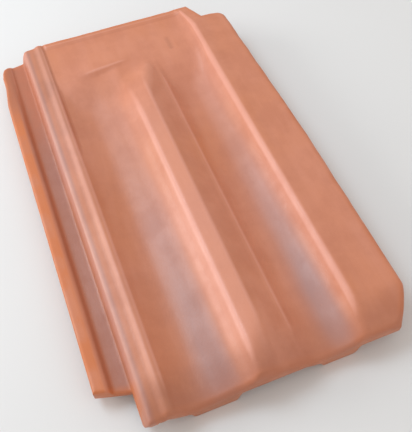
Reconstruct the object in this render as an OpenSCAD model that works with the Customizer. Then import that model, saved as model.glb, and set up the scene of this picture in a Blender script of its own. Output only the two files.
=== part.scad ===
// Interlocking clay roof tile, double trough, lying on its underside.
// x runs across the tile, y from the foot up to the head, z up. Millimetres.

/* [Overall] */
// Length, foot edge to head edge
tile_length = 410; // [380:1:460]
// Width, outer rib to overlock edge
tile_width = 250; // [235:1:280]
// Height of the central roll over the floor
crest_height = 38; // [35:0.5:42]
// Height of the general underside over the lug and foot rib bottoms
underside_height = 7; // [5:0.5:9]
// Wall thickness of the troughs and rolls
wall = 10; // [8:0.5:11]

/* [Troughs and rolls] */
// Height of both trough floors
trough_floor = 17; // [15:0.5:19]
// Width of the flat top of the central roll
roll_top_width = 15.5; // [12:0.5:20]
// Rise of the roll top from its left crest to its right edge
roll_top_rise = 1; // [0:0.25:2]
// Width of the right flank of the central roll
roll_flank_width = 18.5; // [14:0.5:22]
// Width of the ledge at the foot of that flank
ledge_width = 4.5; // [3:0.5:6]
// Height of the ledge
ledge_height = 26; // [24:0.5:28]
// Share of the open width taken by the left trough
left_trough_share = 0.57; // [0.5:0.0025:0.6]
// Height of the right ridge
ridge_height = 36; // [34:0.5:38]
// Width of the ridge top
ridge_top_width = 2.5; // [1.5:0.5:4]

/* [Water lock, left side] */
// Width of the strip with the outer rib and the groove
strip_width = 27; // [25:0.5:30]
// Width of the outer rib top
outer_rib_width = 9; // [7:0.5:10]
// Height of the outer rib
outer_rib_height = 20; // [18.5:0.5:20.5]
// Height of the groove floor
groove_floor = 14; // [13:0.5:15]
// Width of the inner rib, groove to left trough
inner_rib_width = 23; // [20:0.5:26]
// Height of the inner rib crest
inner_rib_height = 29; // [27:0.5:30]
// How far the strip stops short of the foot edge
strip_setback = 30.5; // [24:0.5:38]
// How far the strip stops short of the head edge
strip_head_setback = 3; // [0:0.5:10]
// How far the strip's outer head corner is drawn in
strip_corner = 3; // [0:0.5:6]
// How much further the strip stops short at its outer side
strip_slant = 7.5; // [0:0.5:10]

/* [Overlock, right side] */
// Width of the overlock, ridge crest to right edge
overlock_width = 45; // [42:0.5:52]
// Height of the overlock top beside the ridge
overlock_height = 34.5; // [33:0.25:35]
// Fall of the overlock top to the right edge
overlock_fall = 1.5; // [0:0.25:2.5]
// How far the overlock stops short of the head edge
overlock_setback = 26.5; // [20:0.5:34]
// Distance of the hanging rib from the right edge
lock_rib_inset = 3.5; // [2.5:0.5:4]
// Clearance between lock rib and groove, all round
lock_clearance = 1.5; // [1:0.25:2]
// How much narrower the tile is at the head of the overlock than at its foot
overlock_taper = 6; // [0:0.5:8]
// Distance from the foot where that narrowing starts
taper_from_foot = 190; // [60:5:220]
// Foot corner cut, across the tile
corner_cut_x = 16; // [10:0.5:24]
// Foot corner cut, along the tile
corner_cut_y = 28; // [12:0.5:36]
// Rounding of the overlock corner at the head
corner_radius = 9; // [4:1:12]

/* [Head] */
// Length of the flat head seat
head_length = 60; // [50:1:66]
// Height of the head seat
head_height = 27; // [26:0.5:28]
// Thickness of the head plate
head_plate = 10; // [8:0.5:11]
// Length of the slope from the left and right trough floors up to the seat
ramp_length = 62; // [50:1:80]
// Length of the slope of the nose of the central roll
nose_length = 48; // [36:1:56]
// Height of the rim along the head edge over the seat
rim_rise = 1.5; // [1:0.25:2.5]
// Width of the rim along the head edge
rim_width = 7; // [5:0.5:10]
// Width of the shallow oblong mark where a nail is driven
mark_width = 5; // [4:0.5:7]
// Length of that mark
mark_length = 18; // [12:1:22]
// Depth of that mark
mark_depth = 1.2; // [0.5:0.1:2]
// Distance of the mark's middle from the head edge
mark_from_head = 47; // [42:1:50]

// Length over which the right ridge comes down to the head edge
ridge_run_out = 36; // [25:1:50]
// Height of the right ridge at the head edge over the seat
ridge_end_rise = 2; // [1:0.5:5]

/* [Underside] */
// Width of each batten lug
lug_width = 38; // [28:1:44]
// Thickness of each batten lug
lug_depth = 14; // [10:1:18]
// Distance of the lugs from the head edge
lug_from_head = 8; // [6:1:12]
// Width of the foot rib under the left trough
left_foot_width = 35; // [28:1:40]
// Width of the foot rib under the right trough
right_foot_width = 29; // [22:1:34]
// Thickness of the foot ribs
foot_rib_depth = 14; // [10:1:18]
// Height of the bottom of the foot wall that closes the roll and the overlock
foot_wall_bottom = 12; // [10:0.5:14]
// Thickness of that wall
foot_wall_depth = 10; // [8:0.5:12]
// Height of the underside of the inner rib beside the foot notch
notch_under = 18; // [16:0.5:19]
// Length of the sloping lip at the foot edge
lip_length = 18; // [12:1:24]
// Drop of the roll top and the ridge at the foot edge
lip_drop = 6; // [3:0.5:8]

/* [Hidden] */
$fn = 96;
clay = [0.80, 0.50, 0.38];
eps = 0.01;

// Section positions across the tile
inner_left = strip_width;
trough1_left = strip_width + inner_rib_width;
ridge_x = tile_width - overlock_width;
roll_width = roll_top_width + roll_flank_width + ledge_width;
open_width = ridge_x - trough1_left - roll_width;
trough1_width = left_trough_share * open_width;
crest_x = trough1_left + trough1_width;
trough2_left = crest_x + roll_width;
trough2_width = ridge_x - trough2_left;

// Trough circles: they touch the floor height and pass through the crest and the ridge
rise1 = crest_height - roll_top_rise - trough_floor;
reach1 = 0.555 * trough1_width;
trough1_r = (reach1 * reach1 + rise1 * rise1) / (2 * rise1);
trough1_x = crest_x - reach1;
trough1_z = trough_floor + trough1_r;
rise2 = ridge_height - trough_floor;
reach2 = 0.58 * trough2_width;
trough2_r = (reach2 * reach2 + rise2 * rise2) / (2 * rise2);
trough2_x = ridge_x - reach2;
trough2_z = trough_floor + trough2_r;
back = wall + 0.5;

// Levels and the lock rib, which hangs into the next tile's groove
overlock_under = overlock_height - wall;
groove_left = outer_rib_width + 4.5;
groove_width = strip_width - groove_left;
lock_rib_width = groove_width - 2 * lock_clearance + 1;
lock_rib_bottom = groove_floor + lock_clearance;
lock_rib_right = tile_width - lock_rib_inset;
lock_rib_left = lock_rib_right - lock_rib_width;
roll_ceiling = crest_height - roll_top_rise - wall + 0.5;
rib_ceiling = inner_rib_height - wall - 0.5;

// Positions along the tile
head_y = tile_length - head_length;
nose_y = head_y - nose_length + 2;
ramp_y = head_y - ramp_length + 2;
lug_y = tile_length - lug_from_head - lug_depth;
plate_under = head_height - head_plate;
mark_y = tile_length - mark_from_head;
mark_x = trough2_x + 3;
mark_side = mark_length / 2 - mark_width / 2;
foot1_x = trough1_x - 15;
foot2_x = trough2_x - 6;
lock_head_y = tile_length - overlock_setback;
strip_head_y = tile_length - strip_head_setback;

// Draws a section (x, z) as a bar from y0 to y1
module along(y0, y1) {
    translate([0, y1, 0])
        rotate([90, 0, 0])
            linear_extrude(height = y1 - y0)
                children();
}

// Draws a side view (y, z) as a bar from x0 to x1
module across(x0, x1) {
    translate([x0, 0, 0])
        rotate([90, 0, 90])
            linear_extrude(height = x1 - x0)
                children();
}

module trough1_disc(r) {
    translate([trough1_x, trough1_z])
        circle(r = r, $fn = 180);
}

module trough2_disc(r) {
    translate([trough2_x, trough2_z])
        circle(r = r, $fn = 180);
}

// Top line of the whole section, left to right, closed along the underside
module outline() {
    polygon([
        [2, underside_height],
        [0, underside_height + 2],
        [0, outer_rib_height - 2],
        [2, outer_rib_height],
        [outer_rib_width - 1, outer_rib_height],
        [outer_rib_width + 0.8, outer_rib_height - 1],
        [groove_left, groove_floor],
        [inner_left, groove_floor],
        [inner_left + 5, inner_rib_height - 4],
        [inner_left + 8, inner_rib_height - 2.5],
        [inner_left + 14, inner_rib_height - 1.5],
        [inner_left + 16, inner_rib_height],
        [inner_left + 19, inner_rib_height],
        [trough1_left + 2, inner_rib_height - 1],
        [crest_x, crest_height - roll_top_rise],
        [crest_x + roll_top_width, crest_height],
        [crest_x + roll_top_width + roll_flank_width, ledge_height + 0.5],
        [trough2_left, ledge_height],
        [ridge_x, ridge_height],
        [ridge_x + ridge_top_width, ridge_height],
        [ridge_x + ridge_top_width + 5, overlock_height],
        [tile_width - 3, overlock_height - overlock_fall],
        [tile_width, overlock_height - overlock_fall - 3],
        [tile_width, underside_height]
    ]);
}

// Space under the inner rib
module rib_hollow() {
    difference() {
        polygon([
            [inner_left + 5, 0],
            [inner_left + 5, underside_height],
            [inner_left + 11, rib_ceiling],
            [trough1_x, rib_ceiling],
            [trough1_x, 0]
        ]);
        trough1_disc(trough1_r + back);
    }
}

// Space under the central roll
module roll_hollow() {
    difference() {
        translate([trough1_x, 0])
            square([trough2_x - trough1_x, roll_ceiling]);
        trough1_disc(trough1_r + back);
        trough2_disc(trough2_r + back);
    }
}

// Space under the overlock, for the next tile's outer rib
module overlock_hollow() {
    difference() {
        translate([trough2_x, 0])
            square([tile_width - trough2_x + 1, overlock_under]);
        trough2_disc(trough2_r + back);
    }
}

module lock_rib() {
    polygon([
        [lock_rib_left - 1.5, overlock_under + 1],
        [lock_rib_left, lock_rib_bottom],
        [lock_rib_right, lock_rib_bottom],
        [tile_width, overlock_under - 1],
        [tile_width, overlock_under + 1]
    ]);
}

module section() {
    difference() {
        outline();
        trough1_disc(trough1_r);
        trough2_disc(trough2_r);
        rib_hollow();
        overlock_hollow();
    }
    lock_rib();
}

// Head seat with the slopes up to it; sides reach into the inner rib and the ridge
module head_fill() {
    across(trough1_left - 3, ridge_x - 2)
        polygon([
            [ramp_y, trough_floor - 0.2],
            [head_y, head_height],
            [tile_length - rim_width, head_height],
            [tile_length - rim_width + 2, head_height + rim_rise],
            [tile_length - 2, head_height + rim_rise],
            [tile_length, head_height + rim_rise - 2],
            [tile_length, plate_under],
            [head_y, plate_under],
            [ramp_y, underside_height + 0.5]
        ]);
}

// What lies above the nose slope and the head seat
module head_space() {
    across(trough1_left - 1, ridge_x - 6)
        polygon([
            [nose_y, crest_height + 0.1],
            [head_y + 2, head_height],
            [tile_length + 1, head_height],
            [tile_length + 1, crest_height + 10],
            [nose_y, crest_height + 10]
        ]);
}

// Space under the head plate
module head_hollow() {
    across(inner_left + 12, ridge_x + 6)
        polygon([
            [head_y, -1],
            [head_y, plate_under],
            [tile_length + 1, plate_under],
            [tile_length + 1, -1]
        ]);
}

// Spaces under the roll and the inner rib, closed by a slope under the nose
module under_space() {
    intersection() {
        along(-1, head_y + 1) {
            roll_hollow();
            rib_hollow();
        }
        across(0, tile_width)
            polygon([
                [-2, -1],
                [-2, crest_height],
                [nose_y - 12, roll_ceiling + 1],
                [head_y + 2, plate_under - 2],
                [head_y + 2, -1]
            ]);
    }
}

// Batten seat and lug
module lug(x) {
    across(x - lug_width / 2, x + lug_width / 2)
        polygon([
            [head_y - 4, underside_height],
            [lug_y, underside_height],
            [lug_y, 0],
            [lug_y + lug_depth - 3, 0],
            [lug_y + lug_depth, 4],
            [lug_y + lug_depth, plate_under + 1],
            [head_y - 4, plate_under + 1]
        ]);
}

// The foot wall has the outer section without its hollows
module foot_wall() {
    along(0, foot_wall_depth)
        difference() {
            outline();
            trough1_disc(trough1_r);
            trough2_disc(trough2_r);
            translate([-1, 0])
                square([tile_width + 2, foot_wall_bottom]);
            translate([-1, 0])
                square([trough1_x + 1, crest_height]);
        }
}

module foot_rib(x0, x1) {
    across(x0, x1)
        polygon([
            [2, 0],
            [0, 2],
            [0, underside_height + 7],
            [foot_rib_depth + 4, underside_height + 7],
            [foot_rib_depth, 0]
        ]);
}

// Everything in front of the foot lip
module lip_space() {
    across(-1, tile_width + 1)
        polygon([
            [-1, crest_height - lip_drop - 0.4],
            [lip_length * 0.4, crest_height - lip_drop * 0.35],
            [lip_length, crest_height + 0.1],
            [lip_length, crest_height + 5],
            [-1, crest_height + 5]
        ]);
}

// Everything above the run-out of the right ridge at the head
module ridge_space() {
    across(ridge_x - 12, tile_width + 1)
        polygon([
            [tile_length - ridge_run_out, ridge_height + 0.1],
            [tile_length, head_height + ridge_end_rise],
            [tile_length + 1, head_height + ridge_end_rise],
            [tile_length + 1, ridge_height + 10],
            [tile_length - ridge_run_out, ridge_height + 10]
        ]);
}

// Room under the inner rib beside the foot notch
module notch_space() {
    translate([-1, -1, -1])
        cube([inner_left + 12, strip_setback + 1, notch_under + 1]);
}

// What a corner loses when it is rounded; the corner points to +x, +y
module corner_waste(r) {
    translate([-r, -r])
        difference() {
            square([r + 1, r + 1]);
            circle(r = r);
        }
}

module plan_cuts() {
    translate([0, 0, -1])
        linear_extrude(height = crest_height + 20)
            union() {
                // strip, foot end
                polygon([
                    [-1, -1],
                    [inner_left, -1],
                    [inner_left, strip_setback],
                    [0, strip_setback + strip_slant],
                    [-1, strip_setback + strip_slant + 0.3]
                ]);
                // strip, head end, which slants back to a blunt outer corner
                polygon([
                    [-1, strip_head_y - 52],
                    [0, strip_head_y - 52],
                    [strip_corner, strip_head_y - 14],
                    [strip_corner + 5, strip_head_y - 6],
                    [inner_left, strip_head_y],
                    [inner_left, tile_length + 1],
                    [-1, tile_length + 1]
                ]);
                // foot corner on the strip side
                translate([inner_left, 0])
                    mirror([1, 0])
                        mirror([0, 1])
                            corner_waste(corner_radius * 0.7);
                // foot corner on the overlock side
                polygon([
                    [tile_width - corner_cut_x, -1],
                    [tile_width - corner_cut_x, 0],
                    [tile_width, corner_cut_y],
                    [tile_width + 1, corner_cut_y],
                    [tile_width + 1, -1]
                ]);
                // taper of the overlock edge
                polygon([
                    [tile_width, taper_from_foot],
                    [tile_width + 1, taper_from_foot],
                    [tile_width + 1, lock_head_y],
                    [tile_width - overlock_taper, lock_head_y]
                ]);
                // overlock, head end
                polygon([
                    [ridge_x + 8, tile_length + 1],
                    [ridge_x + 8, tile_length],
                    [ridge_x + 16, lock_head_y],
                    [tile_width + 1, lock_head_y],
                    [tile_width + 1, tile_length + 1]
                ]);
                translate([tile_width - overlock_taper, lock_head_y])
                    corner_waste(corner_radius);
            }
}

// Oblong recess in the head seat
module nail_mark() {
    translate([mark_x, mark_y, head_height - mark_depth])
        linear_extrude(height = mark_depth + 3)
            union() {
                translate([0, mark_side])
                    circle(d = mark_width);
                translate([0, -mark_side])
                    circle(d = mark_width);
                translate([-mark_width / 2, -mark_side])
                    square([mark_width, 2 * mark_side]);
            }
}

// The pressed body: the long section with its head seat, hollow under the roll
module body() {
    difference() {
        union() {
            difference() {
                along(0, tile_length)
                    section();
                head_space();
                head_hollow();
            }
            head_fill();
        }
        under_space();
    }
}

// The part's own frame has its origin under the middle of the tile, on the floor
module roof_tile() {
    color(clay)
        translate([-tile_width / 2, -tile_length / 2, 0])
            difference() {
                union() {
                    body();
                    lug(trough1_x);
                    lug(trough2_x);
                    foot_wall();
                    foot_rib(foot1_x, foot1_x + left_foot_width);
                    foot_rib(foot2_x, foot2_x + right_foot_width);
                }
                lip_space();
                ridge_space();
                plan_cuts();
                notch_space();
                nail_mark();
            }
}

roof_tile();
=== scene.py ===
"""Interlocking clay roof tile, double trough, lying on its underside on a pale studio floor."""
import math

import bpy
import numpy as np
from bpy.props import FloatProperty, FloatVectorProperty, PointerProperty
from bpy.types import Operator, Panel, PropertyGroup
from mathutils import Matrix, Vector


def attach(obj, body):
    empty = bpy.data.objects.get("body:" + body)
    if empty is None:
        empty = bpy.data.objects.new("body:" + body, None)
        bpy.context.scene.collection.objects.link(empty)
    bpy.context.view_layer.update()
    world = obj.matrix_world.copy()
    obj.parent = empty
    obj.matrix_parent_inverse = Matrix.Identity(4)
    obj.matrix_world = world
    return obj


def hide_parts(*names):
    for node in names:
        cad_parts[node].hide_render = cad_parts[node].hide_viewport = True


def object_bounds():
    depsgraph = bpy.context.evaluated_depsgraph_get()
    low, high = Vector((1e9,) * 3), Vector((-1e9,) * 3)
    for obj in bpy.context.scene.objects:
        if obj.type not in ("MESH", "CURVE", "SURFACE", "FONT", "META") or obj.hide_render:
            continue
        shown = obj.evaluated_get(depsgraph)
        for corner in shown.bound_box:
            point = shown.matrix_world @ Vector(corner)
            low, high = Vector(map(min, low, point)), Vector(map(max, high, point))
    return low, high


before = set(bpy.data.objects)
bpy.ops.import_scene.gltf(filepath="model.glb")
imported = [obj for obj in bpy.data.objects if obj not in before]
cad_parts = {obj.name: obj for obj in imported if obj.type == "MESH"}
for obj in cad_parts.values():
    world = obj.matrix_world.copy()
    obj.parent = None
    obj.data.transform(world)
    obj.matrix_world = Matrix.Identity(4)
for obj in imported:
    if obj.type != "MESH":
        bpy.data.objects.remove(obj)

bl_info = {
    "name": "Clay Roof Tile",
    "version": (1, 0, 0),
    "blender": (4, 5, 0),
    "location": "View3D > Sidebar > Roof Tile",
    "description": "Builds a pressed and fired interlocking roof tile and the studio it lies in",
    "category": "Add Mesh",
}

CAD_LOW, CAD_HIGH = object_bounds()
CAD_SIZE = CAD_HIGH - CAD_LOW
CAD_NODE = "roof_tile"
STAGE_NAMES = ("studio_floor", "studio_camera", "window_key", "sky_sheen", "front_fill")
MM = 0.001

# Sizes of this tile that stay as they are, in millimetres
UNLIMITED = 1000.0          # a height that never cuts another one down
SIDE_MARGIN = 6.0           # the section is sampled this far past both sides
SAMPLE_GAP = 0.2
INNER_RIB_WIDTH = 23.0
LEDGE_WIDTH = 4.5
LEFT_TROUGH_SHARE = 0.57    # of the open width that both troughs share
LEFT_REACH_SHARE = 0.555    # of the left trough, from its lowest line to the crest
RIGHT_REACH_SHARE = 0.58    # of the right trough, from its lowest line to the ridge
CREST_STEP = 1.0            # the roll's left crest lies this far below its right one
LOCK_FALL = 1.2             # fall of the overlock to its edge
RIM_RISE = 1.5              # low rim along the head edge
MARK_FROM_HEAD = 47.0       # nail mark, its middle to the head edge
MARK_DEPTH = 0.5
BACK_OFFSET = 10.5          # trough face to the hollow behind it
UNDERSIDE_Z = 7.0           # underside of the troughs over the floor
HOLLOW_Z = 27.5             # ceiling of the hollow in the roll
RIB_HOLLOW_Z = 18.5         # ceiling of the hollow in the inner rib
OVERLOCK_HOLLOW_Z = 21.5    # ceiling of the channel under the overlock
PLATE_UNDER_Z = 17.0        # underside of the head seat and of the water lock
STRIP_SETBACK = 30.5        # water lock, foot edge to its own foot end
STRIP_SLANT = 7.5
LOCK_SETBACK = 26.5         # overlock, head edge to its own head end
LOCK_STEP_X = 16.0          # ridge to the step where that setback begins
CORNER_CUT_X, CORNER_CUT_Y = 15.5, 28.0
TAPER, TAPER_FROM = 6.0, 190.0
HEAD_LEAN = 8.0             # slant of the short head end beside the overlock
LOCK_CORNER = 10.0          # radius of the overlock's head corner
NOTCH_CORNER = 6.0          # radius of the foot corner beside the water lock
EDGE_GAPS = (0.0, 0.18, 0.5, 0.95, 1.5, 2.2, 3.1)
UNDER_ROUNDING = 1.4
WALL_MIDDLE = 0.42          # height of the outline's middle ring between both faces

# Finish of the clay
# tint multiplied in where shade is painted
PAINTED_SHADE_TINT = (0.60, 0.66, 0.76)
CLOUD_SIZE, PATCH_SIZE, STREAK_SIZE = 0.11, 0.030, 0.012
GRAIN_SIZE, DUST_SIZE, PRESS_SIZE = 0.0016, 0.00055, 0.014
GRAIN_DEPTH, PRESS_DEPTH = 0.00035, 0.0012

# Studio
FLOOR_HALF = 3.0
LIGHT_AIM = (0.0, 0.0, 0.02)
AIR_COLOUR = (1.0, 0.95, 0.92, 1.0)
CAMERA_AIM = (0.00814, -0.05385, 0.020)


# --- Section of the tile, in millimetres from its left edge and from the floor ---------------

def smooth_min(a, b, soft):
    """Lower of two heights, with the corner between them rounded."""
    mix = np.clip(0.5 + 0.5 * (b - a) / soft, 0.0, 1.0)
    return b + (a - b) * mix - soft * mix * (1.0 - mix)


def smooth_max(a, b, soft):
    """Higher of two heights, with the corner between them rounded."""
    return -smooth_min(-a, -b, soft)


def step(low, high, value):
    """Soft step from 0 at low to 1 at high."""
    t = np.clip((value - low) / (high - low), 0.0, 1.0)
    return t * t * (3.0 - 2.0 * t)


def band(start, full, fall, end, value):
    """1 from full to fall, with soft steps up from start and down to end."""
    return step(start, full, value) * (1.0 - step(fall, end, value))


def bell(value, centre, width):
    """Smooth hump of height 1 about a centre."""
    return np.exp(-((value - centre) / width) ** 2)


def trough(x, centre, floor, reach, rise, extra=0.0):
    """Lower arc of a trough that passes through the crest beside it."""
    radius = (reach * reach + rise * rise) / (2.0 * rise)
    inside = np.clip((radius + extra) ** 2 - (x - centre) ** 2, 0.0, None)
    arc = floor + radius - np.sqrt(inside)
    return np.where(np.abs(x - centre) < radius + extra, arc, UNLIMITED)


def softened(values, spacing, spread):
    """A sampled line with its corners rounded over the given spread."""
    half = int(math.ceil(3.0 * spread / spacing))
    weights = np.exp(-0.5 * (np.arange(-half, half + 1) * spacing / spread) ** 2)
    padded = np.pad(values, half, mode="edge")
    return np.convolve(padded, weights / weights.sum(), mode="valid")


class Section:
    """Heights of the weather face and of the underside, as functions of x and y in mm."""

    def __init__(self, sizes):
        self.length = sizes.length / MM
        self.width = sizes.width / MM
        self.crest_z = sizes.crest_height / MM
        self.floor_z = sizes.trough_floor / MM
        self.ridge_z = sizes.ridge_height / MM
        self.rib_z = sizes.inner_rib_height / MM
        self.seat_z = sizes.head_height / MM
        self.strip = sizes.strip_width / MM
        self.roll_top = sizes.roll_top_width / MM
        self.roll_flank = sizes.roll_flank_width / MM
        self.ledge_z = sizes.ledge_height / MM
        self.lock_z = sizes.overlock_height / MM
        self.head_y = self.length - sizes.head_length / MM
        self.trough_left = self.strip + INNER_RIB_WIDTH
        self.ridge_x = self.width - sizes.overlock_width / MM
        roll = self.roll_top + self.roll_flank + LEDGE_WIDTH
        open_width = self.ridge_x - self.trough_left - roll
        first = LEFT_TROUGH_SHARE * open_width
        self.crest_x = self.trough_left + first
        self.roll_right = self.crest_x + self.roll_top
        self.ledge_x = self.crest_x + roll
        # each trough: lowest line, floor, reach to the crest on its right, rise to that crest
        reach = LEFT_REACH_SHARE * first
        self.first = (self.crest_x - reach, self.floor_z, reach,
                      self.crest_z - CREST_STEP - self.floor_z)
        reach = RIGHT_REACH_SHARE * (self.ridge_x - self.ledge_x)
        self.second = (self.ridge_x - reach, self.floor_z, reach, self.ridge_z - self.floor_z)
        self.x_samples = np.arange(-SIDE_MARGIN, self.width + SIDE_MARGIN, SAMPLE_GAP)
        # the section with its own rounding at each crest, and a much softer one for the foot
        self.crisp = self.weather_line(0.9)
        for x, reach, spread in ((self.crest_x, 6.0, 1.9), (self.ridge_x + 2.0, 7.0, 2.1),
                                 (self.ledge_x - 2.0, 6.0, 1.6), (self.strip, 2.0, 0.3)):
            near = np.clip(1.4 * bell(self.x_samples, x, reach), 0.0, 1.0)
            self.crisp = self.crisp + (self.weather_line(spread) - self.crisp) * near
        self.gentle = self.weather_line(6.5)

    def weather_line(self, spread):
        """Top line of the section across the tile, with its corners rounded over a spread."""
        left, rib, ridge = self.strip, self.rib_z, self.ridge_x
        points = (
            (-SIDE_MARGIN, 20.0), (9.2, 20.0), (11.0, 19.0), (14.6, 13.8), (left, 14.0),
            (left + 3.8, rib - 4.3), (left + 6.6, rib - 2.8), (left + 15.0, rib - 2.2),
            (left + 18.4, rib), (left + 20.5, rib), (self.trough_left + 2.0, rib - 1.0),
            (self.crest_x, self.crest_z - CREST_STEP), (self.roll_right - 1.0, self.crest_z),
            (self.roll_right + 0.6, self.crest_z - 0.6),
            (self.roll_right + self.roll_flank, self.ledge_z + 0.5),
            (self.ledge_x, self.ledge_z), (ridge, self.ridge_z),
            (ridge + 1.5, self.ridge_z), (ridge + 15.0, self.lock_z),
            (self.width, self.lock_z - LOCK_FALL),
            (self.width + SIDE_MARGIN, self.lock_z - LOCK_FALL),
        )
        xs, zs = zip(*points)
        line = np.interp(self.x_samples, xs, zs)
        line = np.minimum(line, trough(self.x_samples, *self.first))
        line = np.minimum(line, trough(self.x_samples, *self.second))
        return softened(line, SAMPLE_GAP, spread)

    def under_line(self, x):
        """Ceiling of the hollows below the ribs and rolls."""
        back1 = trough(x, *self.first, extra=BACK_OFFSET)
        back2 = trough(x, *self.second, extra=BACK_OFFSET)
        centre1, centre2 = self.first[0], self.second[0]
        left, base = self.strip, UNDERSIDE_Z
        rib_room = np.interp(x, (left + 5.0, left + 11.0, centre1),
                             (base, RIB_HOLLOW_Z, RIB_HOLLOW_Z))
        rib_room = np.where((x > left + 5.0) & (x < centre1), np.minimum(rib_room, back1), base)
        roll_room = np.minimum(np.minimum(back1, back2), HOLLOW_Z)
        roll_room = np.where((x >= centre1) & (x <= centre2), roll_room, base)
        # the lock rib hangs down into the channel under the overlock
        lock = np.interp(x, (self.width - 16.5, self.width - 15.0, self.width - 3.5, self.width),
                         (OVERLOCK_HOLLOW_Z, 15.5, 15.5, 20.0))
        channel = np.minimum(np.minimum(back2, OVERLOCK_HOLLOW_Z), lock)
        side_room = np.where(x > centre2, channel, base)
        return np.maximum(np.maximum(rib_room, roll_room), np.maximum(side_room, base))

    def top(self, x, y):
        """Height of the weather face."""
        crisp = np.interp(x, self.x_samples, self.crisp)
        gentle = np.interp(x, self.x_samples, self.gentle)
        # right of the crest, the section loses its sharpness towards the foot apron
        apron = (1.0 - step(8.0, 42.0, y)) * step(self.crest_x + 4.0, self.crest_x + 12.0, x)
        z = crisp + (gentle - crisp) * apron
        # the foot edge is rounded down, more on the right, and the ribs sag towards it
        lip = np.interp(y, (0.0, 3.0, 8.0, 15.0, 22.0, 40.0),
                        (33.6, 35.8, 37.2, 38.2, 39.4, 43.0))
        lip_right = np.interp(y, (0.0, 6.0, 14.0, 24.0, 34.0, 60.0),
                              (29.0, 30.8, 32.6, 34.6, 36.6, 43.0))
        side = step(self.crest_x + 2.0, self.crest_x + 18.0, x)
        z = smooth_min(z, lip + (lip_right - lip) * side, 3.5)
        sag = 3.4 * np.clip(1.0 - y / 32.0, 0.0, 1.0) ** 1.5
        z = z - sag * step(self.strip + 2.0, self.strip + 16.0, x)
        z = self.with_head(x, y, z)
        # the outer rib dies out towards the head of the strip
        flat = 15.2 + 1.6 * step(12.0, 0.0, x)
        fade = step(self.length - 120.0, self.length - 20.0, y) * (x < self.strip)
        return z + (np.minimum(z, flat) - z) * fade * 0.75

    def with_head(self, x, y, z):
        """Adds the head seat, the slopes up to it and the nose of the roll."""
        head, seat, length = self.head_y, self.seat_z, self.length
        rise = seat - self.floor_z
        first, crest = self.first[0], self.crest_x
        ramp = self.floor_z - 0.6 + 0.35 * rise * step(head - 74.0, head - 6.0, y) \
            + (0.65 * rise + 0.6) * step(head - 60.0, head - 2.0, y)
        # a soft crease across the end of the left trough, with a low hump above it
        hump = band(first - 8.0, first + 16.0, crest, crest + 18.0, x)
        edge = head - 2.0 + 0.08 * (x - first)
        ramp = ramp - 2.2 * hump * band(head - 56.0, head - 16.0, edge - 4.4, edge + 4.4, y)
        ramp = ramp + 0.9 * hump * band(edge - 2.0, edge + 5.0, edge + 5.0, edge + 26.0, y)
        left_side = step(self.trough_left - 0.5, self.trough_left + 3.5, x)
        # the slopes blend into the troughs over a wider spoon beside the roll
        spoon = 3.0 + 11.0 * band(first - 8.0, first + 14.0, crest + 2.0, crest + 10.0, x)
        spoon = spoon + 4.0 * step(self.second[0], self.second[0] + 14.0, x)
        raised = smooth_max(z, ramp, spoon)
        # the roll ends in a soft nose that slants back to the right
        start = head - 60.0 + 0.9 * (x - crest)
        nose = seat + (self.crest_z - seat) * (1.0 - (y - start) / 35.0)
        nose = smooth_max(nose, np.full_like(nose, seat - 0.8), 3.0)
        nose = np.where(y < start - 44.0, UNLIMITED, nose)
        shaped = smooth_min(raised, nose, 9.0 - 3.0 * step(crest + 4.0, self.roll_right, x))
        lifted = smooth_max(shaped, ramp, 1.5)
        shaped = shaped + (lifted - shaped) * step(head - 30.0, head + 6.0, y)
        nose_side = 1.0 - step(self.ledge_x - 2.0, self.ledge_x + 8.0, x)
        raised = raised + (shaped - raised) * nose_side
        z = z + (raised - z) * left_side
        rim = RIM_RISE * step(length - 10.5, length - 4.5, y)
        z = z + rim * left_side * (1.0 - step(self.ridge_x - 8.0, self.ridge_x - 1.0, x))
        # the ridge runs out towards the head edge
        ridge_end = np.interp(y, (length - 40.0, length), (self.ridge_z + 0.5, seat + 2.0))
        past = step(self.ridge_x - 10.0, self.ridge_x - 6.0, x)
        z = z + (smooth_min(z, ridge_end, 1.5) - z) * past
        return z - MARK_DEPTH * self.nail_mark(x, y)

    def nail_mark(self, x, y):
        """Shallow press mark where a fixing nail would be driven through."""
        along = np.clip(np.abs(y - self.length + MARK_FROM_HEAD) - 7.0, 0.0, None)
        return 1.0 - step(0.0, 5.0, np.hypot(x - self.second[0], along))

    def painted_sheen_mask(self, x, y):
        """Where a cool grey sheen is painted: painted reflection on the trough floors and in the
        groove, painted highlight on the rib's left face.
        """
        length, strip = self.length, self.strip
        # the painted reflection grows towards the foot
        low = 0.55 * step(length * 0.92, length * 0.30, y) \
            + 0.60 * step(length * 0.42, length * 0.08, y)
        first = bell(x, self.first[0] + 11.0, 15.0)
        second = bell(x, self.second[0] + 12.0, 13.0)
        groove = 0.45 * bell(x, strip - 5.0, 5.0) * step(length, length * 0.4, y)
        face = 0.65 * band(strip + 0.5, strip + 3.0, strip + 7.0, strip + 11.0, x)
        foot = step(-14.0, 18.0, y)
        first = first * (1.0 - step(self.crest_x - 16.0, self.crest_x - 8.0, x))
        second = second * (1.0 - step(self.ridge_x - 11.0, self.ridge_x - 3.0, x))
        return np.clip((first + second) * low * foot + groove + face, 0.0, 1.0)

    def painted_highlight(self, x, y):
        """Where highlights are painted paler: the top of the roll, the facet below its crest and
        the crest line of the inner rib.
        """
        crest, right = self.crest_x, self.roll_right
        roll = band(crest - 2.0, crest + 2.0, right - 3.0, right + 1.0, x) \
            * (1.0 - step(self.head_y - 110.0, self.head_y - 46.0, y))
        slope = band(crest - 13.0, crest - 8.0, crest, crest + 4.0, x) \
            * (1.0 - step(self.length * 0.28, self.length * 0.5, y))
        rib = bell(x, self.strip + 17.5, 2.2)
        return (0.8 * roll + slope + 0.45 * rib) * step(14.0, 42.0, y)

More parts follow.
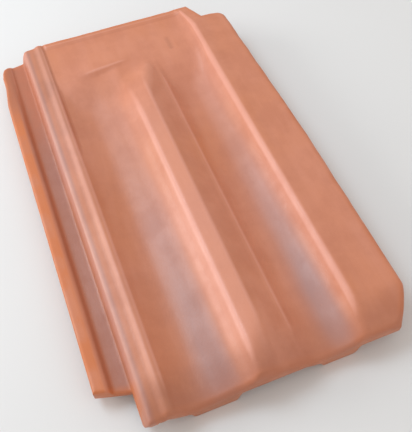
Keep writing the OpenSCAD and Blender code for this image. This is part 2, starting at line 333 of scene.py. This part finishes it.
    def painted_shade_mask(self, x, y):
        """Where shade is painted darker, most on the foot apron and the left side, also in the
        groove, in the nail mark, over the left trough and along the left edge.
        """
        strip = self.strip
        foot = 1.0 - step(2.0, 40.0, y)
        left = 1.0 - step(strip + 18.0, strip + 27.0, x)
        left = left * (1.0 - 0.9 * bell(x, strip + 3.5, 3.0))
        left = left * (1.0 - 0.5 * bell(x, strip + 10.5, 4.0))
        head = step(self.length * 0.50, self.length * 0.84, y)
        right = step(self.crest_x, self.crest_x + 10.0, x)
        groove = band(10.5, 14.0, strip - 1.0, strip + 3.0, x)
        # painted shade on the foot apron, the left side and the groove, then in the nail mark,
        # along the left edge and over the left trough
        shade = foot * (0.70 - 0.30 * right) + left * (0.30 + 0.55 * head) + 0.55 * groove
        shade = shade + 0.25 * head * (x < strip) + 0.35 * self.nail_mark(x, y)
        shade = shade + 0.45 * (1.0 - step(0.5, 5.5, x))
        floor = bell(x, self.first[0] + 2.0, 27.0) * (1.0 - step(320.0, 360.0, y))
        return np.clip(shade + 0.18 * floor, 0.0, 1.0)

    def painted_groove_shade(self, x, y):
        """Where shade is painted deeper red: the groove below the outer rib, the head of the water
        lock and the foot.
        """
        strip = self.strip
        across = band(10.5, 14.0, strip - 0.5, strip + 2.5, x) \
            * (1.0 - 0.45 * step(15.0, strip, x))
        head = step(self.length * 0.60, self.length * 0.88, y) \
            * (1.0 - step(strip - 1.0, strip + 10.0, x))
        foot = 0.6 * (1.0 - step(4.0, 34.0, y))
        # painted shadow line at the foot of the outer rib
        line = bell(x, 13.8, 1.8)
        return np.clip(0.75 * across + 0.6 * line + 1.1 * head + foot, 0.0, 1.4)

    def bottom(self, x, y):
        """Height of the underside."""
        head, length = self.head_y, self.length
        room = self.under_line(x)
        slope = np.interp(y, (head - 58.0, head + 2.0), (28.5, 15.0))
        open_side = x > self.ridge_x + 6.0
        z = np.where(open_side, room, np.minimum(room, np.maximum(slope, UNDERSIDE_Z)))
        plate = (x > self.strip + 12.0) & ~open_side
        thin = step(head - 1.5, head + 1.5, y)
        z = np.where(plate, z + (np.maximum(z, PLATE_UNDER_Z) - z) * thin, z)
        # batten seats, each with its lug down to the floor
        for centre in (self.first[0], self.second[0]):
            across = 1.0 - step(18.2, 20.4, np.abs(x - centre))
            seat = band(head - 5.0, head - 3.0, length - 9.4, length - 7.4, y)
            lug = step(length - 22.6, length - 21.0, y)
            tip = UNDERSIDE_Z * (1.0 - lug) + 4.0 * step(length - 12.0, length - 8.0, y)
            z = z + (tip - z) * across * seat
        # foot wall and foot ribs
        wall = (1.0 - step(8.5, 11.0, y)) * (x > self.first[0])
        z = z + (np.minimum(z, 12.0) - z) * wall
        for low, wide in ((self.first[0] - 15.0, 35.0), (self.second[0] - 6.0, 29.0)):
            across = band(low - 3.0, low + 1.5, low + wide - 1.5, low + wide + 3.0, x)
            rise = np.interp(y, (0.0, 13.0, 19.0, 21.0), (0.0, 0.0, 14.0, UNLIMITED))
            z = z + (np.minimum(z, rise) - z) * across
        notch = (x < self.strip + 12.5) & (y < STRIP_SETBACK + 0.5)
        return np.where(notch, np.maximum(z, PLATE_UNDER_Z), z)


# --- Plan of the tile -------------------------------------------------------------------------

def spread_lines(stops):
    """Grid lines through the given (position, spacing) stops."""
    lines = [stops[0][0]]
    for (start, gap), (end, _) in zip(stops[:-1], stops[1:]):
        count = max(1, int(round((end - start) / gap)))
        lines.extend(start + (end - start) * (i + 1) / count for i in range(count))
    return np.array(lines)


def edge_lines(start, direction):
    """Close-set lines beside an edge, where it is rounded."""
    return [start + direction * gap for gap in EDGE_GAPS]


def merged(*groups):
    """Sorted grid lines with near-duplicates left out, the first group kept whole."""
    kept = list(groups[0])
    for group in groups[1:]:
        for value in group:
            if all(abs(value - other) > 0.42 for other in kept):
                kept.append(value)
    return np.array(sorted(kept))


class Plan:
    """Grid of the tile in plan, with its cut corners and set-back sides."""

    def __init__(self, section):
        s = section
        self.section = s
        self.strip_foot = STRIP_SETBACK
        self.lock_head = s.length - LOCK_SETBACK
        self.lock_x = s.ridge_x + LOCK_STEP_X
        fixed_x = edge_lines(0.0, 1) + edge_lines(s.strip, 1) + edge_lines(self.lock_x, -1)
        fixed_x += edge_lines(s.width, -1)
        fill_x = spread_lines((
            (0.0, 0.8), (16.0, 1.2), (s.strip, 0.7), (s.trough_left + 2.0, 1.5),
            (s.crest_x - 6.0, 0.6), (s.crest_x + 4.0, 1.0), (s.roll_right - 3.0, 0.6),
            (s.roll_right + 3.0, 1.2), (s.ledge_x - 5.0, 0.6), (s.ledge_x + 3.0, 1.4),
            (s.ridge_x - 4.0, 0.6), (s.ridge_x + 8.0, 1.6), (s.width - 18.0, 0.9), (s.width, 1.0)))
        fixed_y = edge_lines(0.0, 1) + edge_lines(self.strip_foot, 1)
        fixed_y += edge_lines(self.lock_head, -1) + edge_lines(s.length, -1)
        fill_y = spread_lines((
            (0.0, 1.3), (22.0, 2.0), (38.0, 7.0), (s.head_y - 66.0, 1.8),
            (s.head_y - 8.0, 1.0), (s.head_y + 6.0, 1.9), (s.length, 1.0)))
        self.xs = merged(fixed_x, fill_x)
        self.ys = merged(fixed_y, fill_y)

    def cells(self):
        """Which grid cells belong to the tile."""
        mid_x = 0.5 * (self.xs[1:] + self.xs[:-1])[:, None]
        mid_y = 0.5 * (self.ys[1:] + self.ys[:-1])[None, :]
        notch = (mid_x < self.section.strip) & (mid_y < self.strip_foot)
        set_back = (mid_x > self.lock_x) & (mid_y > self.lock_head)
        return ~(notch | set_back)

    def placed(self):
        """Grid points moved onto the tile's real outline."""
        s = self.section
        x, y = np.meshgrid(self.xs, self.ys, indexing="ij")
        # right edge: cut foot corner, slight narrowing to the head, slanted head end
        edge = s.width - CORNER_CUT_X * np.clip(1.0 - y / CORNER_CUT_Y, 0.0, 1.0) ** 1.25
        edge = edge - TAPER * np.clip((y - TAPER_FROM) / (self.lock_head - TAPER_FROM), 0.0, 1.0)
        free = np.clip((x - s.ridge_x - 6.0) / (s.width - s.ridge_x - 6.0), 0.0, 1.0)
        moved_x = x - (s.width - edge) * free
        lean = HEAD_LEAN * np.clip((y - self.lock_head) / (s.length - self.lock_head), 0.0, 1.0)
        beside = np.clip((x - s.ridge_x + 6.0) / 22.0, 0.0, 1.0) * (y > self.lock_head)
        moved_x = moved_x - lean * beside
        # strip foot slants back to the outer side, strip head has a blunt corner
        fade = 1.0 - step(self.strip_foot, self.strip_foot + 45.0, y)
        fade = fade * (y >= self.strip_foot - 0.01)
        moved_y = y + STRIP_SLANT * np.clip(1.0 - x / s.strip, 0.0, 1.0) * fade
        drop = np.interp(x, (0.0, 1.5, 4.0, 9.0, s.strip - 1.0, s.strip, s.strip + 1.0),
                         (21.0, 14.0, 9.0, 6.0, 3.6, 2.6, 0.0))
        back = np.clip((y - (s.length - 90.0)) / 90.0, 0.0, 1.0)
        moved_y = moved_y - drop * back * (x <= s.strip + 1.0)
        inward = step(s.length - 60.0, s.length - 14.0, y) * np.clip(1.0 - x / 12.0, 0.0, 1.0)
        moved_x = moved_x + 3.0 * inward
        # rounded head corner of the overlock and rounded foot corner beside the notch
        corner = np.clip(x - (s.width - LOCK_CORNER), 0.0, LOCK_CORNER)
        round_off = LOCK_CORNER - np.sqrt(np.clip(LOCK_CORNER ** 2 - corner ** 2, 0.0, None))
        near = np.clip((y - (self.lock_head - 24.0)) / 24.0, 0.0, 1.0)
        moved_y = moved_y - round_off * near * (y <= self.lock_head + 0.01)
        foot = np.clip(s.strip + NOTCH_CORNER - x, 0.0, NOTCH_CORNER) * (x >= s.strip - 0.01)
        lift = NOTCH_CORNER - np.sqrt(np.clip(NOTCH_CORNER ** 2 - foot ** 2, 0.0, None))
        moved_y = moved_y + lift * np.clip(1.0 - y / 20.0, 0.0, 1.0)
        return moved_x, moved_y


def distance_to(points, starts, ends):
    """Shortest distance from each plan point to a set of line pieces."""
    best = np.zeros(len(points))
    run = ends - starts
    size = np.maximum((run ** 2).sum(axis=1), 1.0e-12)
    batch = 2000
    for begin in range(0, len(points), batch):
        p = points[begin:begin + batch]
        away = p[:, None, :] - starts[None, :, :]
        t = np.clip((away * run[None, :, :]).sum(axis=2) / size[None, :], 0.0, 1.0)
        gap = away - t[:, :, None] * run[None, :, :]
        best[begin:begin + batch] = np.sqrt((gap ** 2).sum(axis=2)).min(axis=1)
    return best


def soft_waves(x, y, seed):
    """Gentle unevenness of a pressed face, between about -1 and 1."""
    total = np.zeros_like(x)
    rng = np.random.default_rng(seed)
    for size, amount in ((150.0, 0.5), (83.0, 0.3), (41.0, 0.2)):
        angle, phase = rng.uniform(0.0, math.tau, 2)
        turn = angle * rng.uniform(0.8, 1.3)
        along = (x * math.cos(angle) + y * math.sin(angle)) * math.tau / size + phase
        across = (y * math.cos(turn) - x * math.sin(turn)) * math.tau / (size * 1.3)
        total += amount * np.sin(along) * np.cos(across)
    return total


def edge_drop(distance, radius):
    """How much a face falls beside a rounded edge."""
    inside = np.clip(radius - distance, 0.0, radius)
    return radius - np.sqrt(np.clip(radius ** 2 - inside ** 2, 0.0, None))


def outline_pieces(cells, index):
    """Edges of the outline as pairs of grid points, each with the tile on its left."""
    padded = np.pad(cells, 1)
    sides = (
        (padded[1:-1, :-2], (0, 0), (1, 0)), (padded[2:, 1:-1], (1, 0), (1, 1)),
        (padded[1:-1, 2:], (1, 1), (0, 1)), (padded[:-2, 1:-1], (0, 1), (0, 0)),
    )
    pieces = []
    for beyond, (start_x, start_y), (end_x, end_y) in sides:
        i, j = np.nonzero(cells & ~beyond)
        pieces.append(np.stack((index[i + start_x, j + start_y], index[i + end_x, j + end_y]),
                               axis=1))
    return np.concatenate(pieces)


def clay_masks(section, x, y, gap):
    """Masks for the clay at each grid point; crest is 1 on crests and -1 in creases."""
    reach = 1.6
    middle = section.top(x, y)
    bend = 2.0 * middle - section.top(x - reach, y) - section.top(x + reach, y)
    bend = bend + 2.0 * middle - section.top(x, y - reach) - section.top(x, y + reach)
    crest = np.clip(bend / reach ** 2 * 4.0, -1.0, 1.0)
    crest = crest * (0.4 + 0.6 * step(section.strip + 18.0, section.trough_left + 4.0, x))
    crest = np.where(crest > 0.0, crest * step(2.0, 36.0, y), crest)
    # the outline is worn, least at the foot, and so is the whole outer rib
    worn = np.clip(1.0 - gap / 7.5, 0.0, 1.0) ** 1.3 * (0.35 + 0.65 * step(0.0, 16.0, y))
    rib = (1.0 - step(8.5, 11.5, x)) * (1.0 - step(300.0, 370.0, y))
    # all these masks but the worn edges paint light or shade: highlights and shade on crests and
    # creases, shade on the apron, the left side and the groove, highlights on the roll and rib, a
    # cool reflection on the trough floors
    return {
        "edge_wear": np.maximum(worn, 1.2 * rib),
        "crest": crest,
        "painted_shade": section.painted_shade_mask(x, y),
        "painted_highlight": section.painted_highlight(x, y),
        "painted_sheen": section.painted_sheen_mask(x, y),
        "groove": section.painted_groove_shade(x, y),
    }


def tile_mesh(sizes):
    """Closed mesh of the tile in the CAD frame, with the masks for its clay."""
    section = Section(sizes)
    plan = Plan(section)
    cells = plan.cells()
    x, y = plan.placed()
    count_x, count_y = x.shape
    index = np.arange(count_x * count_y).reshape(count_x, count_y)

    used = np.zeros(x.shape, dtype=bool)
    for dx in (0, 1):
        for dy in (0, 1):
            used[dx:count_x - 1 + dx, dy:count_y - 1 + dy] |= cells

    rim = outline_pieces(cells, index)
    flat = np.stack((x.ravel(), y.ravel()), axis=1)
    gap = distance_to(flat, flat[rim[:, 0]], flat[rim[:, 1]]).reshape(x.shape)

    # edges are rounded a little unevenly, and more at the foot and at the right edge
    uneven = soft_waves(x, y, 7)
    radius = (sizes.edge_rounding / MM) * (1.0 + 0.25 * soft_waves(x * 2.3, y * 2.3, 21))
    foot = (1.0 - step(0.0, 12.0, y)) * step(section.strip + 4.0, section.strip + 20.0, x)
    radius = radius * (1.0 + 0.6 * foot)
    radius = radius * (1.0 + 0.9 * step(section.width - 24.0, section.width - 12.0, x))
    top = section.top(x, y) + 0.12 * uneven
    top = top - edge_drop(gap, radius)
    low = section.bottom(x, y)
    low = low + edge_drop(gap, np.full_like(gap, UNDER_ROUNDING))
    low = np.minimum(low, top - 0.8)
    side = np.clip(low + WALL_MIDDLE * (top - low), low + 0.2, top - 0.2)

    # vertices, centred on the frame: weather face, underside, then a ring round the outline
    centre_x, centre_y = section.width / 2.0, section.length / 2.0
    place = used.ravel()
    numbers = np.full(count_x * count_y, -1)
    numbers[place] = np.arange(place.sum())
    px, py = x.ravel()[place] - centre_x, y.ravel()[place] - centre_y
    ring = np.unique(rim)
    ring_numbers = np.full(count_x * count_y, -1)
    ring_numbers[ring] = np.arange(len(ring))
    tops = np.stack((px, py, top.ravel()[place]), axis=1)
    lows = np.stack((px, py, low.ravel()[place]), axis=1)
    sides = np.stack((flat[ring, 0] - centre_x, flat[ring, 1] - centre_y, side.ravel()[ring]),
                     axis=1)
    vertices = np.concatenate((tops, lows, sides)) * MM
    total = len(tops)

    ci, cj = np.nonzero(cells)
    quad = np.stack((numbers[index[ci, cj]], numbers[index[ci + 1, cj]],
                     numbers[index[ci + 1, cj + 1]], numbers[index[ci, cj + 1]]), axis=1)
    under = quad[:, ::-1] + total
    ta, tb = numbers[rim[:, 0]], numbers[rim[:, 1]]
    sa, sb = (ring_numbers[rim[:, end]] + 2 * total for end in (0, 1))
    upper = np.stack((tb, ta, sa, sb), axis=1)
    lower = np.stack((sb, sa, ta + total, tb + total), axis=1)
    faces = np.concatenate((quad, under, upper, lower))

    mesh = bpy.data.meshes.new("clay_tile")
    mesh.from_pydata(vertices.tolist(), [], faces.tolist())
    mesh.validate()
    mesh.update()

    # worn edges and the painted shade carry on round the outline and below, the others stop there
    for name, grid in clay_masks(section, x, y, gap).items():
        share = 0.7 if name in ("edge_wear", "painted_shade") else 0.0
        above = grid.ravel()[place]
        every = np.concatenate((above, share * above, share * grid.ravel()[ring]))
        layer = mesh.attributes.new(name, "FLOAT", "POINT")
        layer.data.foreach_set("value", every.astype(np.float32))
    mesh.polygons.foreach_set("use_smooth", np.ones(len(mesh.polygons), dtype=bool))
    return mesh


# --- Fired clay -------------------------------------------------------------------------------

class Nodes:
    """Short calls for adding and joining shader nodes."""

    def __init__(self, material):
        material.use_nodes = True
        self.tree = material.node_tree
        self.tree.nodes.clear()
        self.column = 0

    def add(self, kind, **values):
        """A new node with the given settings, set out in columns."""
        node = self.tree.nodes.new(kind)
        self.column += 1
        node.location = (self.column * 180 - 3000, (self.column % 4) * -220)
        for name, value in values.items():
            setattr(node, name, value)
        return node

    def join(self, output, target):
        """Link from an output to an input."""
        self.tree.links.new(output, target)

    def noise(self, where, size, detail=3.0, rough=0.55, stretch=None):
        """Cloudy noise whose patches are about the given size in metres."""
        source = where
        if stretch is not None:
            mapping = self.add("ShaderNodeMapping")
            mapping.inputs["Scale"].default_value = stretch
            self.join(where, mapping.inputs["Vector"])
            source = mapping.outputs["Vector"]
        node = self.add("ShaderNodeTexNoise")
        node.inputs["Scale"].default_value = 1.0 / size
        node.inputs["Detail"].default_value = detail
        node.inputs["Roughness"].default_value = rough
        self.join(source, node.inputs["Vector"])
        return node.outputs["Fac"]

    def ramp(self, value, low, high, start=0.0, end=1.0):
        """Value between low and high, spread to start and end with a soft step."""
        node = self.add("ShaderNodeMapRange", interpolation_type="SMOOTHSTEP")
        for name, number in (("From Min", low), ("From Max", high),
                             ("To Min", start), ("To Max", end)):
            node.inputs[name].default_value = number
        self.join(value, node.inputs["Value"])
        return node.outputs["Result"]

    def mix(self, amount, first, second, blend="MIX"):
        """Two colours mixed by an amount; each may be a socket or a plain colour."""
        node = self.add("ShaderNodeMix", data_type="RGBA", blend_type=blend)
        for target, item in ((node.inputs[0], amount), (node.inputs[6], first),
                             (node.inputs[7], second)):
            if isinstance(item, bpy.types.NodeSocket):
                self.join(item, target)
            elif isinstance(item, (int, float)):
                target.default_value = item
            else:
                target.default_value = (*item[:3], 1.0)
        return node.outputs[2]

    def math(self, operation, first, second):
        """Sum, product or other result of two values, each a socket or a plain number."""
        node = self.add("ShaderNodeMath", operation=operation)
        for target, item in ((node.inputs[0], first), (node.inputs[1], second)):
            if isinstance(item, bpy.types.NodeSocket):
                self.join(item, target)
            else:
                target.default_value = item
        return node.outputs[0]

    def mask(self, name):
        """One of the mesh's own masks."""
        return self.add("ShaderNodeAttribute", attribute_name=name).outputs["Fac"]

    def bump(self, height, strength, distance, normal=None):
        """Normal bent by a height, on top of another normal where one is given."""
        node = self.add("ShaderNodeBump")
        node.inputs["Strength"].default_value = strength
        node.inputs["Distance"].default_value = distance
        self.join(height, node.inputs["Height"])
        if normal is not None:
            self.join(normal, node.inputs["Normal"])
        return node.outputs["Normal"]

    def finish(self, shader):
        """Joins the shader to the material's surface."""
        output = self.add("ShaderNodeOutputMaterial")
        self.join(shader.outputs["BSDF"], output.inputs["Surface"])


def fired_clay(colours):
    """Fired clay: cloudy colour from the kiln, fine grain, worn edges and a satin skin."""
    material = bpy.data.materials.new("fired_clay")
    n = Nodes(material)
    place = n.add("ShaderNodeTexCoord").outputs["Object"]

    clouds = n.ramp(n.noise(place, CLOUD_SIZE, 3.0, 0.5), 0.36, 0.66)
    patches = n.ramp(n.noise(place, PATCH_SIZE, 4.0, 0.6), 0.35, 0.68)
    streaks = n.ramp(n.noise(place, STREAK_SIZE, 3.0, 0.6, (1.0, 0.16, 1.0)), 0.4, 0.68)
    grain = n.noise(place, GRAIN_SIZE, 4.0, 0.65)
    dust = n.noise(place, DUST_SIZE, 2.0, 0.7)

    colour = n.mix(n.math("MULTIPLY", clouds, 0.75), colours.clay, colours.clay_pink)
    colour = n.mix(n.math("MULTIPLY", patches, 0.35), colour, colours.clay_deep)
    colour = n.mix(n.math("MULTIPLY", streaks, 0.10), colour, colours.clay_pale)
    # painted cool reflection on the channel floors and groove, painted highlight on the rib's left
    # face
    painted_sheen = n.math("MULTIPLY", n.mask("painted_sheen"), n.ramp(clouds, 0.0, 1.0, 0.58, 0.70))
    colour = n.mix(painted_sheen, colour, colours.painted_sheen_colour)
    # painted shade, multiplied in over the apron, the left side, the groove and the nail mark
    painted_shade = n.math("MULTIPLY", n.mask("painted_shade"), n.ramp(patches, 0.0, 1.0, 0.8, 1.0))
    colour = n.mix(painted_shade, colour, PAINTED_SHADE_TINT, "MULTIPLY")
    # painted shade in the groove, at the head of the water lock and at the foot
    groove_shade = n.math("MULTIPLY", n.mask("groove"), n.ramp(patches, 0.0, 1.0, 0.55, 0.8))
    colour = n.mix(groove_shade, colour, colours.clay_deep)
    edge = n.math("MULTIPLY", n.mask("edge_wear"), n.ramp(patches, 0.0, 1.0, 0.6, 0.95))
    colour = n.mix(edge, colour, colours.clay_edge)
    # painted highlights on the roll top, the facet below the crest and the rib's crest line
    colour = n.mix(n.math("MULTIPLY", n.mask("painted_highlight"), 0.42), colour, colours.clay_pale)
    # painted highlight on convex crests and painted shade in concave creases, both from the bend of
    # the face
    ridge = n.ramp(n.mask("crest"), 0.10, 0.8, 0.0, 0.5)
    colour = n.mix(ridge, colour, colours.clay_pale)
    crease = n.ramp(n.math("MULTIPLY", n.mask("crest"), -1.0), 0.15, 0.9, 0.0, 0.35)
    colour = n.mix(crease, colour, colours.clay_deep)
    speck = n.ramp(grain, 0.60, 0.74, 0.0, 0.16)
    colour = n.mix(speck, colour, colours.clay_pale)
    dark_speck = n.ramp(dust, 0.27, 0.36, 0.30, 0.0)
    colour = n.mix(dark_speck, colour, colours.clay_deep)

    skin = n.ramp(patches, 0.0, 1.0, colours.roughness - 0.05, colours.roughness + 0.05)
    skin = n.math("ADD", skin, n.ramp(grain, 0.3, 0.7, -0.03, 0.05))
    skin = n.math("ADD", skin, n.math("MULTIPLY", edge, 0.1))

    bump_grain = n.bump(n.math("ADD", grain, n.math("MULTIPLY", dust, 0.5)), 0.30, GRAIN_DEPTH)
    press = n.noise(place, PRESS_SIZE, 3.0, 0.5, (1.0, 0.3, 1.0))
    bump_press = n.bump(press, 0.22, PRESS_DEPTH, bump_grain)

    shader = n.add("ShaderNodeBsdfPrincipled")
    shader.inputs["Specular IOR Level"].default_value = 0.62
    n.join(colour, shader.inputs["Base Color"])
    n.join(skin, shader.inputs["Roughness"])
    n.join(bump_press, shader.inputs["Normal"])
    n.finish(shader)
    return material


def floor_paint(colours):
    """Matt pale studio floor with a faint unevenness."""
    material = bpy.data.materials.new("pale_floor")
    n = Nodes(material)
    place = n.add("ShaderNodeTexCoord").outputs["Object"]
    cloud = n.ramp(n.noise(place, 0.5, 3.0, 0.5), 0.35, 0.65)
    shade = tuple(value * 0.97 for value in colours.floor)
    shader = n.add("ShaderNodeBsdfPrincipled")
    shader.inputs["Roughness"].default_value = 0.85
    n.join(n.mix(cloud, colours.floor, shade), shader.inputs["Base Color"])
    n.finish(shader)
    return material


# --- Settings ---------------------------------------------------------------------------------

def size_setting(name, about, value):
    """Setting for a length in metres."""
    return FloatProperty(name=name, description=about, default=value, min=0.0, unit="LENGTH",
                         subtype="DISTANCE", precision=4)


def colour_setting(name, about, value):
    """Setting for a colour."""
    return FloatVectorProperty(name=name, description=about, default=value, size=3,
                               min=0.0, max=1.0, subtype="COLOR")


def angle_setting(name, about, degrees):
    """Setting for an angle, with its default given in degrees."""
    return FloatProperty(name=name, description=about, default=math.radians(degrees),
                         unit="ROTATION", subtype="ANGLE")


def power_setting(name, about, value):
    """Setting for the power of a light in watts."""
    return FloatProperty(name=name, description=about, default=value, min=0.0, unit="POWER")


class TileSizes(PropertyGroup):
    """Sizes of the tile; the overall ones come from the CAD frame."""

    length: size_setting("Length", "Foot edge to head edge", CAD_SIZE.y)
    width: size_setting("Width", "Outer rib to overlock edge", CAD_SIZE.x)
    crest_height: size_setting("Crest height", "Central crest over the floor", CAD_SIZE.z - 0.0002)
    trough_floor: size_setting("Trough floor", "Height of both trough floors", 0.017)
    ridge_height: size_setting("Ridge height", "Height of the right ridge", 0.036)
    inner_rib_height: size_setting("Inner rib height", "Crest of the rib beside the groove", 0.029)
    head_height: size_setting("Head seat height", "Height of the flat seat at the head", 0.027)
    head_length: size_setting("Head seat length", "Length of the flat seat at the head", 0.060)
    strip_width: size_setting("Water lock width", "Strip with the outer rib and the groove", 0.027)
    overlock_width: size_setting("Overlock width", "Ridge crest to the right edge", 0.045)
    roll_top_width: size_setting("Roll top width", "Flat top of the central roll", 0.0155)
    roll_flank_width: size_setting("Roll flank width", "Right flank of the central roll", 0.0185)
    ledge_height: size_setting("Ledge height", "Ledge at the foot of that flank", 0.026)
    overlock_height: size_setting("Overlock height", "Top of the overlock beside the ridge", 0.0345)
    edge_rounding: size_setting("Edge rounding", "Radius of the rounded outline edges", 0.0026)


class TileColours(PropertyGroup):
    """Colours and finish of the clay, and of the floor."""

    clay: colour_setting("Clay", "Main colour of the fired clay", (0.63, 0.220, 0.105))
    clay_pink: colour_setting("Clay, pink", "Paler pink clouds", (0.66, 0.250, 0.148))
    # the deep clay also paints shade in the groove, in creases and at the foot
    clay_deep: colour_setting("Clay, deep", "Darker, redder patches", (0.48, 0.150, 0.072))
    # the pale clay also paints the highlights on crests, on the roll top, on the crest facet and on
    # the rib
    clay_pale: colour_setting("Clay, pale", "Pale streaks and worn crests", (0.80, 0.36, 0.26))
    # colour of the painted reflection, a cool grey sheen painted on the channel floors
    painted_sheen_colour: colour_setting("Clay, bloom", "Cool grey bloom on the channel floors",
                               (0.345, 0.212, 0.205))
    clay_edge: colour_setting("Clay, edges", "More orange colour along the outline",
                              (0.60, 0.165, 0.045))
    floor: colour_setting("Floor", "Colour of the studio floor", (0.80, 0.79, 0.77))
    roughness: FloatProperty(name="Roughness", description="Roughness of the fired skin",
                             default=0.43, min=0.0, max=1.0, subtype="FACTOR")


class StudioSettings(PropertyGroup):
    """Camera and lights."""

    lens: FloatProperty(name="Lens", description="Focal length of the camera", default=51.9,
                        min=10.0, max=300.0, unit="CAMERA")
    azimuth: angle_setting("Azimuth", "Camera direction round the tile", -20.02)
    elevation: angle_setting("Elevation", "Camera height over the horizon", 56.34)
    roll: angle_setting("Roll", "Tilt of the camera about its line of sight", -1.74)
    distance: size_setting("Distance", "Camera to the point it looks at", 0.5361)
    key_power: power_setting("Key light", "Power of the large light on the left", 9.2)
    sheen_power: power_setting("Sheen light", "Power of the cool light behind", 9.0)
    fill_power: power_setting("Fill light", "Power of the weak light in front", 1.0)
    ambient: FloatProperty(name="Ambient", description="Strength of the even light from all round",
                           default=0.67, min=0.0, max=3.0)


# --- Operators --------------------------------------------------------------------------------

def clear_objects(names):
    """Removes earlier objects of these names, so that a piece can be made again."""
    for name in names:
        old = bpy.data.objects.get(name)
        if old is not None:
            bpy.data.objects.remove(old, do_unlink=True)


def add_light(name, position, size, power, colour):
    """Rectangular soft light that shines at the tile."""
    data = bpy.data.lights.new(name, "AREA")
    data.shape = "RECTANGLE"
    data.size, data.size_y = size
    data.energy = power
    data.color = colour
    light = bpy.data.objects.new(name, data)
    light.location = position
    aim = Vector(LIGHT_AIM) - Vector(position)
    light.rotation_euler = aim.to_track_quat("-Z", "Y").to_euler()
    bpy.context.scene.collection.objects.link(light)


class ROOFTILE_OT_build_tile(Operator):
    """Build the clay tile with its fired surface in place of the CAD solid"""

    bl_idname = "rooftile.build_tile"
    bl_label = "Build Tile"
    bl_options = {"REGISTER", "UNDO"}

    def execute(self, context):
        scene = context.scene
        clear_objects(("clay_tile",))
        mesh = tile_mesh(scene.tile_sizes)
        if len(mesh.polygons) == 0:
            raise RuntimeError("the tile has no faces")
        tile = bpy.data.objects.new("clay_tile", mesh)
        scene.collection.objects.link(tile)
        mesh.materials.append(fired_clay(scene.tile_colours))
        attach(tile, "root")
        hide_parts(CAD_NODE)
        return {"FINISHED"}


class ROOFTILE_OT_build_stage(Operator):
    """Build the pale floor, the soft lights and the camera"""

    bl_idname = "rooftile.build_stage"
    bl_label = "Build Stage"
    bl_options = {"REGISTER", "UNDO"}

    def execute(self, context):
        scene = context.scene
        studio, colours = scene.tile_studio, scene.tile_colours
        clear_objects(STAGE_NAMES)

        mesh = bpy.data.meshes.new("studio_floor")
        corners = ((-1, -1), (1, -1), (1, 1), (-1, 1))
        mesh.from_pydata([(FLOOR_HALF * i, FLOOR_HALF * j, 0.0) for i, j in corners],
                         [], [(0, 1, 2, 3)])
        mesh.materials.append(floor_paint(colours))
        floor = bpy.data.objects.new("studio_floor", mesh)
        scene.collection.objects.link(floor)

        add_light("window_key", (-1.22, 0.62, 0.46), (0.8, 0.6), studio.key_power,
                  (0.97, 0.98, 1.0))
        add_light("sky_sheen", (-0.62, 0.62, 1.25), (0.7, 0.7), studio.sheen_power,
                  (0.70, 0.86, 1.0))
        add_light("front_fill", (0.9, -0.9, 1.0), (1.2, 0.8), studio.fill_power,
                  (1.0, 0.94, 0.90))

        world = bpy.data.worlds.new("studio_air")
        world.use_nodes = True
        air = world.node_tree.nodes["Background"]
        air.inputs["Color"].default_value = AIR_COLOUR
        air.inputs["Strength"].default_value = studio.ambient
        scene.world = world
        scene.view_settings.view_transform = "Standard"

        data = bpy.data.cameras.new("studio_camera")
        data.lens = studio.lens
        camera = bpy.data.objects.new("studio_camera", data)
        a, e = studio.azimuth, studio.elevation
        back = Vector((math.sin(a) * math.cos(e), -math.cos(a) * math.cos(e), math.sin(e)))
        turn = (-back).to_track_quat("-Z", "Y").to_matrix() @ Matrix.Rotation(studio.roll, 3, "Z")
        position = Vector(CAMERA_AIM) + back * studio.distance
        camera.matrix_world = Matrix.Translation(position) @ turn.to_4x4()
        scene.collection.objects.link(camera)
        scene.camera = camera
        return {"FINISHED"}


class ROOFTILE_PT_sidebar(Panel):
    """Sidebar with the pieces of the roof tile"""

    bl_label = "Clay Roof Tile"
    bl_idname = "ROOFTILE_PT_sidebar"
    bl_space_type = "VIEW_3D"
    bl_region_type = "UI"
    bl_category = "Roof Tile"

    def draw(self, context):
        scene, layout = context.scene, self.layout
        layout.operator(ROOFTILE_OT_build_tile.bl_idname)
        layout.operator(ROOFTILE_OT_build_stage.bl_idname)
        for title, group in (("Sizes", scene.tile_sizes), ("Colours", scene.tile_colours),
                             ("Studio", scene.tile_studio)):
            box = layout.box()
            box.label(text=title)
            for key in group.__annotations__:
                box.prop(group, key)


CLASSES = (TileSizes, TileColours, StudioSettings, ROOFTILE_OT_build_tile,
           ROOFTILE_OT_build_stage, ROOFTILE_PT_sidebar)


def register():
    """Makes the classes and settings known to Blender."""
    for item in CLASSES:
        bpy.utils.register_class(item)
    bpy.types.Scene.tile_sizes = PointerProperty(type=TileSizes)
    bpy.types.Scene.tile_colours = PointerProperty(type=TileColours)
    bpy.types.Scene.tile_studio = PointerProperty(type=StudioSettings)


def unregister():
    """Takes them out again."""
    del bpy.types.Scene.tile_studio
    del bpy.types.Scene.tile_colours
    del bpy.types.Scene.tile_sizes
    for item in reversed(CLASSES):
        bpy.utils.unregister_class(item)


def main():
    """Builds the tile and the stage."""
    register()
    bpy.ops.rooftile.build_tile()
    bpy.ops.rooftile.build_stage()


if __name__ == "__main__":
    main()
